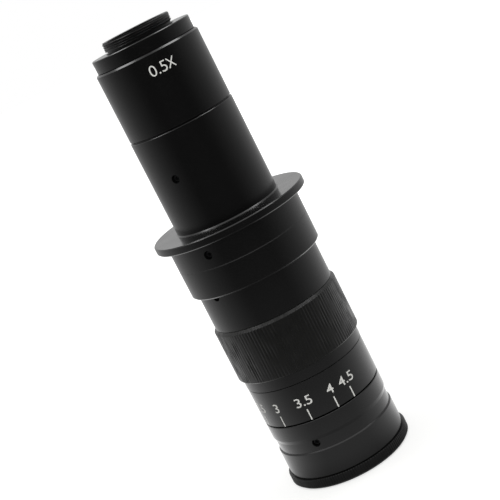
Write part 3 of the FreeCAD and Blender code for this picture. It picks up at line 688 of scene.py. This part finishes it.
# Objective housing: the plain drum above the foot ring
objectiveDrum = {
    "bore": 16.53, "spigot": 20.6, "spigotBottom": 1.2, "rim": 3.95, "shoulder": 14.3, "shoulderBevel": 0.45,
    "seatRadius": 19.5, "seatLevel": 18.4, "throat": 15.3, "lensSeat": 12.0, "break": 0.25, "bend": 0.08,
}


def makeObjectiveDrum():
    radius = span("objective_housing")[2]
    d, small, bend = objectiveDrum, objectiveDrum["break"], objectiveDrum["bend"]
    shoulder, bevel = d["shoulder"], d["shoulderBevel"]
    outline = roundedOutline([
        (d["bore"], d["spigotBottom"]), (d["spigot"], d["spigotBottom"]), (d["spigot"], d["rim"]),
        (radius - small, d["rim"], bend), (radius, d["rim"] + small, bend),
        (radius, shoulder - bevel, bend), (radius - bevel, shoulder, bend), (d["seatRadius"], shoulder),
        (d["seatRadius"], d["seatLevel"]), (d["throat"], d["seatLevel"]), (d["throat"], d["lensSeat"]),
        (d["bore"], d["lensSeat"])])
    piece = turnedPiece("objective_drum", outline, blackAnodised)
    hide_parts("objective_housing")
    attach(piece, "fixed")


makeFootRing()
makeObjectiveDrum()

# Set screws: each is sunk a little under the surface of the ring it holds
screwSets = {
    "front_body_screws": {"face": 20.93, "length": 1.4, "level": 17.3, "count": 3, "azimuth": -24.6},
    "main_barrel_screws": {"face": 21.82, "length": 5.3, "level": 79.5, "count": 2, "azimuth": -48.7},
    "stand_collar_screws": {"face": 23.90, "length": 2.1, "level": 95.25, "count": 3, "azimuth": -30.5},
    "upper_tube_screws": {"face": 18.45, "length": 1.45, "level": 122.65, "count": 3, "azimuth": -33.7},
}

# Front body: fixed ring with a waist for the set screws, under the band that carries the index mark
indexBody = {
    "waist": 22.03, "waistTop": 18.3, "bandBottom": 19.8, "flangeBore": 19.53, "guideBore": 16.53,
    "guideStep": 20.4, "break": 0.20, "bend": 0.08, "bevelBend": 0.5, "scaleGap": 0.32,
}


def makeIndexBody():
    bottom, top, radius = span("front_body")
    d, small, bend = indexBody, indexBody["break"], indexBody["bend"]
    top -= d["scaleGap"]
    outline = roundedOutline([
        (d["flangeBore"], bottom), (d["waist"], bottom), (d["waist"], d["waistTop"], d["bevelBend"]),
        (radius, d["bandBottom"], d["bevelBend"]), (radius, top - small, bend), (radius - small, top, bend),
        (d["guideBore"], top), (d["guideBore"], d["guideStep"]), (d["flangeBore"], d["guideStep"])])
    piece = turnedPiece("index_body", outline, blackAnodised)
    boreHoles(piece, d["waist"], d["flangeBore"], screwSets["front_body_screws"])
    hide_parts("front_body")
    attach(piece, "fixed")


# Scale ring: smooth ring with the magnification marks
scaleDrum = {"bore": 21.26, "break": 0.10, "bend": 0.04}


def makeScaleDrum():
    bottom, top, radius = span("scale_ring")
    d, small, bend = scaleDrum, scaleDrum["break"], scaleDrum["bend"]
    outline = roundedOutline([
        (d["bore"], bottom), (radius - small, bottom, bend), (radius, bottom + small, bend),
        (radius, top - small, bend), (radius - small, top, bend), (d["bore"], top)])
    piece = turnedPiece("scale_drum", outline, blackAnodised)
    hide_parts("scale_ring")
    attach(piece, "zoom")


# Zoom grip: the knurled ring with its plain skirt, and the sleeve under the scale ring
# The slot widens the gap between skirt and scale ring, and the skirt reaches a little up into the knurled ring
knurledGrip = {
    "sleeveBore": 18.98, "sleeve": 21.23, "skirtBottom": 40.4, "skirt": 22.71, "skirtTop": 44.8,
    "skirtBend": 0.05, "skirtOverlap": 0.1, "slot": 0.28, "bottomChamfer": 0.5, "topChamfer": 1.0,
    "topRise": 0.12, "bend": 0.10, "ridges": 120, "depth": 0.075, "crest": 0.25, "unevenness": 3.4,
    "wearLength": 6.0, "seed": 7, "rowSpacing": 0.9, "segments": 1200,
}


def makeKnurledGrip():
    bottom, top, radius = span("zoom_grip")
    d, bend = knurledGrip, knurledGrip["bend"]
    top += d["topRise"]
    skirtBottom, skirtTop = d["skirtBottom"] + d["slot"], d["skirtTop"] + d["skirtOverlap"]
    plain = roundedOutline([
        (d["sleeveBore"], bottom), (d["sleeve"], bottom), (d["sleeve"], skirtBottom),
        (d["skirt"], skirtBottom, d["skirtBend"]), (d["skirt"], skirtTop), (d["sleeveBore"], skirtTop)])
    skirt = turnedPiece("zoom_skirt", plain, blackAnodised)
    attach(skirt, "zoom")
    outline = roundedOutline([
        (d["sleeveBore"], d["skirtTop"]), (radius - d["bottomChamfer"], d["skirtTop"], bend),
        (radius, d["skirtTop"] + d["bottomChamfer"], bend),
        (radius, top - d["topChamfer"], bend), (radius - d["topChamfer"], top, bend), (d["sleeveBore"], top)])
    rows = withRows(outline, d["rowSpacing"])
    piece = turnedPiece("zoom_grip_knurled", rows, blackKnurled, segments=d["segments"])
    runTree(piece, cutRidges, {
        "Ridges Round": d["ridges"], "Depth": d["depth"] * mm, "Crest Share": d["crest"],
        "Outer Radius": radius * mm, "Unevenness": d["unevenness"], "Wear Length": d["wearLength"] * mm,
        "Seed": d["seed"]}, blackKnurled)
    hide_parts("zoom_grip")
    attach(piece, "zoom")


# Main barrel: the long fixed barrel between the grip and the stand collar
longBarrel = {
    "recess": 19.05, "seatBottom": 75.0, "guideBore": 16.53, "guideTop": 84.0, "webBore": 13.5,
    "webTop": 86.0, "spigotBore": 18.43, "break": 0.06, "bend": 0.02,
}


def makeLongBarrel():
    bottom, top, radius = span("main_barrel")
    d, small, bend = longBarrel, longBarrel["break"], longBarrel["bend"]
    outline = roundedOutline([
        (d["recess"], bottom), (radius - small, bottom, bend), (radius, bottom + small, bend), (radius, top),
        (d["spigotBore"], top), (d["spigotBore"], d["webTop"]), (d["webBore"], d["webTop"]),
        (d["webBore"], d["guideTop"]), (d["guideBore"], d["guideTop"]), (d["guideBore"], d["seatBottom"]),
        (d["recess"], d["seatBottom"])])
    piece = turnedPiece("long_barrel", outline, blackAnodised)
    boreHoles(piece, radius, d["guideBore"], screwSets["main_barrel_screws"])
    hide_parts("main_barrel")
    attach(piece, "fixed")


# Stand collar: the flange and the standard barrel that a microscope stand clamps
clampCollar = {
    "bore": 22.95, "radius": 25.0, "chamfer": 0.5, "groove": 90.25, "grooveWidth": 0.3,
    "grooveDepth": 0.1, "flangeBottom": 99.45, "flangeEdge": 0.35, "tubeBore": 19.60, "bend": 0.12,
    "bottomBend": 0.08, "cornerBend": 0.15,
}


def makeClampCollar():
    bottom, top, rim = span("stand_collar")
    d, edge, bend = clampCollar, clampCollar["flangeEdge"], clampCollar["bend"]
    radius, half, corner = d["radius"], d["grooveWidth"] / 2, d["cornerBend"]
    outline = roundedOutline([
        (d["bore"], bottom), (radius - d["chamfer"], bottom, d["bottomBend"]),
        (radius, bottom + d["chamfer"], corner), (radius, d["groove"] - half),
        (radius - d["grooveDepth"], d["groove"]), (radius, d["groove"] + half),
        (radius, d["flangeBottom"], corner), (rim - edge, d["flangeBottom"], bend),
        (rim, d["flangeBottom"] + edge, bend), (rim, top - edge, bend), (rim - edge, top, bend),
        (d["tubeBore"], top), (d["tubeBore"], d["flangeBottom"]), (d["bore"], d["flangeBottom"])])
    piece = turnedPiece("clamp_collar", outline, blackAnodised, segments=320)
    boreHoles(piece, radius, d["bore"], screwSets["stand_collar_screws"])
    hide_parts("stand_collar")
    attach(piece, "fixed")


# Upper tube: plain tube with a bevelled foot on the flange
plainTube = {
    "radius": 19.55, "spigot": 18.4, "spigotTop": 99.45, "footBottom": 102.3, "footHeight": 0.4, "bore": 17.0,
    "socket": 17.93, "socketBottom": 133.3, "break": 0.14, "bend": 0.05,
}


def makePlainTube():
    bottom, top, foot = span("upper_tube")
    d, radius, small, bend = plainTube, plainTube["radius"], plainTube["break"], plainTube["bend"]
    outline = roundedOutline([
        (d["bore"], bottom), (d["spigot"], bottom), (d["spigot"], d["spigotTop"]), (radius, d["spigotTop"]),
        (radius, d["footBottom"]), (foot, d["footBottom"]), (radius, d["footBottom"] + d["footHeight"]),
        (radius, top - small, bend), (radius - small, top, bend), (d["socket"], top),
        (d["socket"], d["socketBottom"]), (d["bore"], d["socketBottom"])])
    piece = turnedPiece("plain_tube", outline, blackAnodised)
    boreHoles(piece, radius, d["bore"], screwSets["upper_tube_screws"])
    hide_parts("upper_tube")
    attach(piece, "fixed")


# Relay housing: the reducing lens barrel at the top
relayBarrel = {
    "throat": 12.8, "spigot": 17.9, "neck": 18.15, "neckBottom": 138.3, "neckTop": 138.75, "socket": 16.43,
    "seat": 160.3, "lensBore": 14.03, "lensSeat": 146.86, "topChamfer": 0.6, "break": 0.25, "bend": 0.08,
}


def makeRelayBarrel():
    bottom, top, radius = span("relay_housing")
    d, small, bend = relayBarrel, relayBarrel["break"], relayBarrel["bend"]
    outline = roundedOutline([
        (d["throat"], bottom), (d["spigot"], bottom), (d["spigot"], d["neckBottom"]),
        (d["neck"], d["neckBottom"]), (d["neck"], d["neckTop"]), (radius - small, d["neckTop"], bend),
        (radius, d["neckTop"] + small, bend), (radius, top - d["topChamfer"], bend),
        (radius - d["topChamfer"], top, bend), (d["socket"], top), (d["socket"], d["seat"]),
        (d["lensBore"], d["seat"]), (d["lensBore"], d["lensSeat"]), (d["throat"], d["lensSeat"])])
    piece = turnedPiece("relay_barrel", outline, blackAnodised)
    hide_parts("relay_housing")
    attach(piece, "fixed")


# C-mount ring: 1 inch by 32 threads to the inch, above the shoulder that the camera seats on
threadRing = {
    "bore": 10.6, "mouth": 12.2, "mouthDrop": 0.16, "spigot": 16.4, "shoulderBottom": 164.5,
    "shoulderTop": 169.4, "undercut": 12.95, "undercutDepth": 0.3, "relief": 12.05, "threadBottom": 170.2,
    "thread": 12.7, "leadIn": 0.35, "pitch": 0.794, "depth": 0.42, "crest": 0.15, "rowSpacing": 0.08,
    "break": 0.25, "bend": 0.08,
}


def makeThreadRing():
    bottom, top, widest = span("c_mount_ring")
    d, small, bend = threadRing, threadRing["break"], threadRing["bend"]
    low, high = d["shoulderBottom"], d["shoulderTop"]
    groove = high - d["undercutDepth"]
    shoulder = turnedPiece("camera_shoulder", roundedOutline([
        (d["bore"], bottom), (d["spigot"], bottom), (d["spigot"], low), (widest - small, low, bend),
        (widest, low + small, bend), (widest, high - small, bend), (widest - small, high, bend),
        (d["undercut"], high), (d["undercut"], groove), (d["bore"], groove)]), blackAnodised)
    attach(shoulder, "fixed")
    # The mouth is opened with a shallow cone, which catches the light of the paper behind
    outline = roundedOutline([
        (d["bore"], groove), (d["relief"], groove), (d["relief"], d["threadBottom"]),
        (d["thread"], d["threadBottom"]), (d["thread"], top - d["leadIn"]), (d["thread"] - d["leadIn"], top),
        (d["mouth"], top), (d["bore"], top - d["mouthDrop"])])
    foot = outline.index(Vector((d["thread"], d["threadBottom"])))
    rows = outline[:foot] + withRows(outline[foot:foot + 2], d["rowSpacing"])[:-1] + outline[foot + 1:]
    piece = turnedPiece("camera_thread_ring", rows, blackThread)
    runTree(piece, cutRidges, {
        "Ridges Round": 1, "Ridges Along": 1 / (d["pitch"] * mm), "Depth": d["depth"] * mm,
        "Crest Share": d["crest"], "Outer Radius": d["thread"] * mm}, blackThread)
    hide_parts("c_mount_ring")
    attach(piece, "fixed")


makeIndexBody()
makeScaleDrum()
makeKnurledGrip()
makeLongBarrel()
makeClampCollar()
makePlainTube()
makeRelayBarrel()
makeThreadRing()
print("barrels and rings made")


def emptyPiece(name, points):
    mesh = bpy.data.meshes.new(name)
    mesh.from_pydata(points, [], [])
    return addObject(name, mesh)


for node, screws in screwSets.items():
    made = runTree(emptyPiece(node + "_socketed", [(0, 0, 0)]), setScrews, {
        "Count": screws["count"], "First Azimuth": math.radians(screws["azimuth"]),
        "Level": screws["level"] * mm, "Face Radius": screws["face"] * mm,
        "Length": screws["length"] * mm}, blackenedSteel)
    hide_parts(node)
    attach(made, "fixed")
print("set screws made")

# Marks: magnification against azimuth on the ring, and one index mark on the fixed band
dial = {
    "marks": {"0.7": 157.0, "1": -173.0, "1.5": -138.0, "2": -104.0, "2.5": -72.0, "3": -46.1, "3.5": -17.0,
              "4": 9.4, "4.5": 27.3},
    "radius": 22.6, "markBottom": 26.3, "markHeight": 4.15, "markWidth": 0.48,
    "numeralBottom": 31.9, "numeralHeight": 3.5, "stretch": 1.14, "weight": 0.003,
    "indexAzimuth": 157.0, "indexRadius": 22.54, "indexBottom": 21.0, "indexHeight": 4.7, "indexWidth": 0.8,
}
factor = {"radius": 19.39, "bottom": 156.75, "height": 3.75, "digitsAzimuth": 2.9, "digitsStretch": 1.03,
          "digitsWeight": -0.006, "timesAzimuth": 17.0, "timesStretch": 0.74, "timesWeight": -0.017}


# Words are laid on the barrel like a label: made flat, sliced into upright strips and wrapped round
label = {"strip": 0.3, "thickness": 0.02, "proud": 0.012, "curveSteps": 6}


def wrapWords(name, words, azimuth, bottom, height, radius, stretch, weight, body):
    curve = bpy.data.curves.new(name, "FONT")
    curve.body = words
    curve.align_x = "CENTER"
    curve.offset = weight
    curve.extrude = label["thickness"]
    curve.resolution_u = label["curveSteps"]
    holder = addObject(name, curve)
    mesh = bpy.data.meshes.new_from_object(holder.evaluated_get(bpy.context.evaluated_depsgraph_get()))
    bpy.data.objects.remove(holder)
    shape = bmesh.new()
    shape.from_mesh(mesh)
    low, high = min(v.co.y for v in shape.verts), max(v.co.y for v in shape.verts)
    size = height / (high - low)
    for vertex in shape.verts:
        vertex.co = Vector((vertex.co.x * size * stretch, (vertex.co.y - low) * size, vertex.co.z))
    edge = max(abs(v.co.x) for v in shape.verts)
    cut = -edge + label["strip"]
    while cut < edge:
        everything = shape.verts[:] + shape.edges[:] + shape.faces[:]
        bmesh.ops.bisect_plane(shape, geom=everything, plane_co=(cut, 0, 0), plane_no=(1, 0, 0))
        cut += label["strip"]
    for vertex in shape.verts:
        turn = math.radians(azimuth) + vertex.co.x / radius
        out = radius + label["proud"] + vertex.co.z - label["thickness"]
        vertex.co = Vector((out * math.sin(turn), -out * math.cos(turn), bottom + vertex.co.y)) * mm
    bmesh.ops.recalc_face_normals(shape, faces=shape.faces)
    shape.to_mesh(mesh)
    shape.free()
    mesh.materials.clear()
    mesh.materials.append(whitePaint)
    piece = addObject(name, mesh)
    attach(piece, body)


def makeMarks(name, azimuths, sizes, body):
    points = [(math.radians(azimuth), 0, 0) for azimuth in azimuths]
    piece = runTree(emptyPiece(name, points), scaleMarks, sizes, whitePaint)
    piece.data.shade_flat()
    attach(piece, body)


makeMarks("scale_marks", dial["marks"].values(), {
    "Bottom": dial["markBottom"] * mm, "Height": dial["markHeight"] * mm, "Width": dial["markWidth"] * mm,
    "Surface Radius": dial["radius"] * mm}, "zoom")
makeMarks("index_mark", [dial["indexAzimuth"]], {
    "Bottom": dial["indexBottom"] * mm, "Height": dial["indexHeight"] * mm, "Width": dial["indexWidth"] * mm,
    "Surface Radius": dial["indexRadius"] * mm}, "fixed")
for words, azimuth in dial["marks"].items():
    wrapWords("numeral_" + words.replace(".", "_"), words, azimuth, dial["numeralBottom"],
              dial["numeralHeight"], dial["radius"], dial["stretch"], dial["weight"], "zoom")
for part, words in (("digits", "0.5"), ("times", "×")):
    wrapWords("factor_" + part, words, factor[part + "Azimuth"], factor["bottom"], factor["height"],
              factor["radius"], factor[part + "Stretch"], factor[part + "Weight"], "fixed")
print("marks and numerals made")

# Cemented pairs: two lenses look like one piece of glass, so each pair is one closed shape
# Each sag is how far a face's centre stands above its edge
lensPairs = {
    "objective": {"parts": ("crown", "flint"), "body": "fixed", "radius": 16.5, "bottom": 3.598, "top": 8.198,
                  "sags": (-1.7, 0.5)},
    "variator": {"parts": ("lower", "upper"), "body": "variator", "radius": 10.6, "bottom": 31.5, "top": 36.3,
                 "sags": (1.0, -1.1)},
    "compensator": {"parts": ("lower", "upper"), "body": "compensator", "radius": 10.6, "bottom": 68.762,
                    "top": 73.562, "sags": (-0.7, 0.9)},
    "rear": {"parts": ("lower", "upper"), "body": "fixed", "radius": 12.5, "bottom": 121.064, "top": 126.264,
             "sags": (-1.2, 0.6)},
    "relay": {"parts": ("lower", "upper"), "body": "fixed", "radius": 14.0, "bottom": 147.096, "top": 153.096,
              "sags": (-1.4, 1.0)},
}


def lensFace(radius, level, sag, steps=24):
    curvature = (radius ** 2 + sag ** 2) / (2 * sag)
    points = []
    for step in range(steps + 1):
        out = radius * step / steps
        fall = curvature - math.copysign(math.sqrt(curvature ** 2 - out ** 2), curvature)
        points.append(Vector((out, level + sag - fall)))
    return points


for name, pair in lensPairs.items():
    lower = lensFace(pair["radius"], pair["bottom"], pair["sags"][0])
    upper = lensFace(pair["radius"], pair["top"], pair["sags"][1])
    piece = turnedPiece(name + "_pair", lower + upper[::-1], coatedLens, segments=160, closed=False)
    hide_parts(*[name + "_" + part + "_lens" for part in pair["parts"]])
    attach(piece, pair["body"])
print("lenses made")
